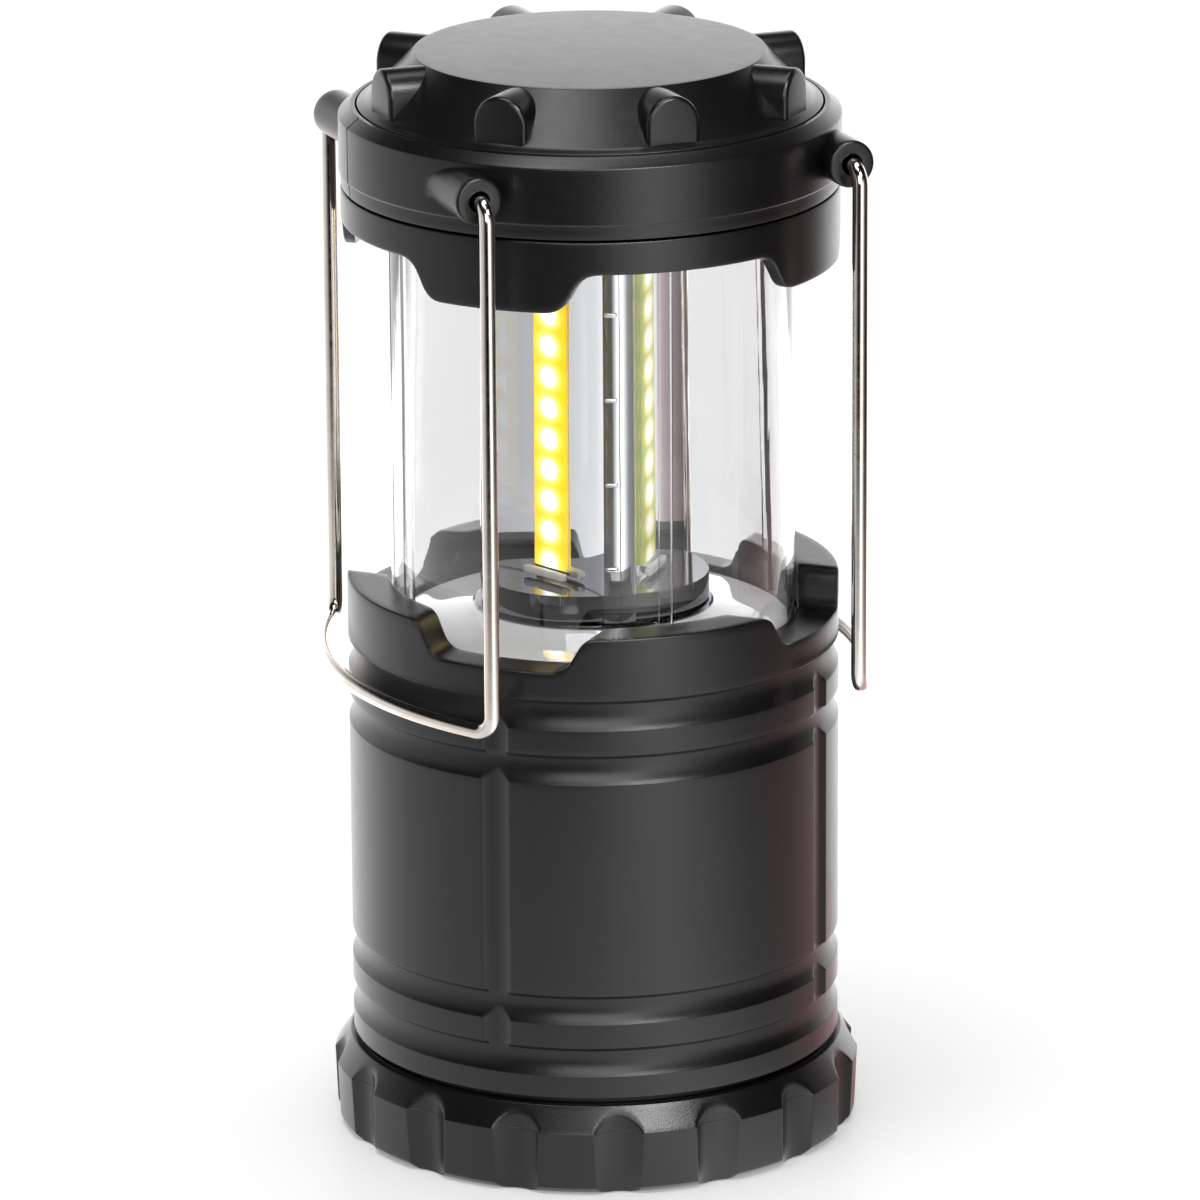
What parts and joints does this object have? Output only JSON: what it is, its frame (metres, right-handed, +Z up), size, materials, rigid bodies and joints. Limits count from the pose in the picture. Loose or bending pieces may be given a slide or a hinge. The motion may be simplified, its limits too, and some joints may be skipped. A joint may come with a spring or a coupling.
{
  "type": "camping lantern",
  "caption": "Pop-up camping lantern: clear lens and chrome reflector column with light strips slide out of a round body; swinging wire handles and a screw-on base.",
  "frame": {"origin": "middle of the base's underside, where the lantern stands", "axes": "+Z up along the lantern's axis, front towards -Y, the two handle hinges parallel to Y on the -X and +X sides"},
  "size_m": [0.0906, 0.089, 0.1849],
  "materials": {
    "black_abs": "satin",
    "rubber": "matte",
    "mirror_skin": "polished",
    "nickel_wire": "polished",
    "clear_lens": "gloss",
    "white_board": "satin",
    "phosphor": "satin",
    "cell_wrap": "satin",
    "contact_steel": "satin",
    "zinc_screw": "satin",
    "green_board": "satin",
    "part_black": "satin",
    "red_lead": "satin",
    "black_lead": "satin",
    "brass": "satin"
  },
  "bodies": {
    "body": {"body_shell": "black_abs"},
    "base_seal": {"base_gasket": "rubber"},
    "base": {"base_cap": "black_abs"},
    "lamp_head": {"slide_carrier": "black_abs", "slide_friction_ring": "rubber", "lens": "clear_lens", "chamber_floor": "mirror_skin", "chamber_ceiling": "mirror_skin", "battery_tube": "part_black", "top_positive_plate": "contact_steel", "top_link_plate": "contact_steel", "centre_rod": "brass", "positive_lead": "red_lead", "limit_switch": "part_black", "switch_lead": "black_lead", "skirt": "black_abs", "collar": "black_abs", "top_cap": "black_abs", "driver_board": "green_board", "inductor": "part_black", "capacitor": "contact_steel", "driver_chip": "part_black", "reflector_1": "mirror_skin", "light_board_1": "white_board", "light_strip_1": "phosphor", "strip_lead_1": "red_lead", "battery_1": "cell_wrap", "tube_screw_1": "zinc_screw", "cap_screw_1": "zinc_screw", "reflector_2": "mirror_skin", "light_board_2": "white_board", "light_strip_2": "phosphor", "strip_lead_2": "red_lead", "battery_2": "cell_wrap", "contact_spring_2": "contact_steel", "tube_screw_2": "zinc_screw", "cap_screw_2": "zinc_screw", "reflector_3": "mirror_skin", "light_board_3": "white_board", "light_strip_3": "phosphor", "strip_lead_3": "red_lead", "battery_3": "cell_wrap", "tube_screw_3": "zinc_screw", "cap_screw_3": "zinc_screw"},
    "handle_left_wire": {"handle_left": "nickel_wire"},
    "handle_right_wire": {"handle_right": "nickel_wire"},
    "battery_door_twist": {"battery_door": "part_black", "door_link_plate": "contact_steel", "door_negative_plate": "contact_steel", "contact_spring_1": "contact_steel", "contact_spring_3": "contact_steel"},
    "switch_button": {"switch_plunger": "white_board"}
  },
  "joints": [
    {"name": "base_drop", "type": "slide", "parent": "body", "child": "base_seal", "axis": [0, 0, -1], "range_m": [0, 0.005]},
    {"name": "base_unscrew", "type": "hinge", "parent": "base_seal", "child": "base", "pos_m": [0, 0, 0], "axis": [0, 0, -1], "range_deg": [0, 720]},
    {"name": "head_push_down", "type": "slide", "parent": "body", "child": "lamp_head", "axis": [0, 0, -1], "range_m": [0, 0.0604]},
    {"name": "handle_left_swing", "type": "hinge", "parent": "lamp_head", "child": "handle_left_wire", "pos_m": [-0.0325, 0, 0.1695], "axis": [0, 1, 0], "range_deg": [0, 190]},
    {"name": "handle_right_swing", "type": "hinge", "parent": "lamp_head", "child": "handle_right_wire", "pos_m": [0.0325, 0, 0.1695], "axis": [0, -1, 0], "range_deg": [0, 190]},
    {"name": "battery_door_turn", "type": "hinge", "parent": "lamp_head", "child": "battery_door_twist", "pos_m": [0, 0, 0.066], "axis": [0, 0, 1], "range_deg": [0, 30]},
    {"name": "switch_press", "type": "slide", "parent": "lamp_head", "child": "switch_button", "axis": [0, 0, 1], "range_m": [0, 0.0012], "stiffness_N_per_m": 300, "springref_m": -0.002}
  ],
  "couplings": [
    {"joint": "base_drop", "follows": "base_unscrew", "m_per_rad": 0.00039789}
  ]
}
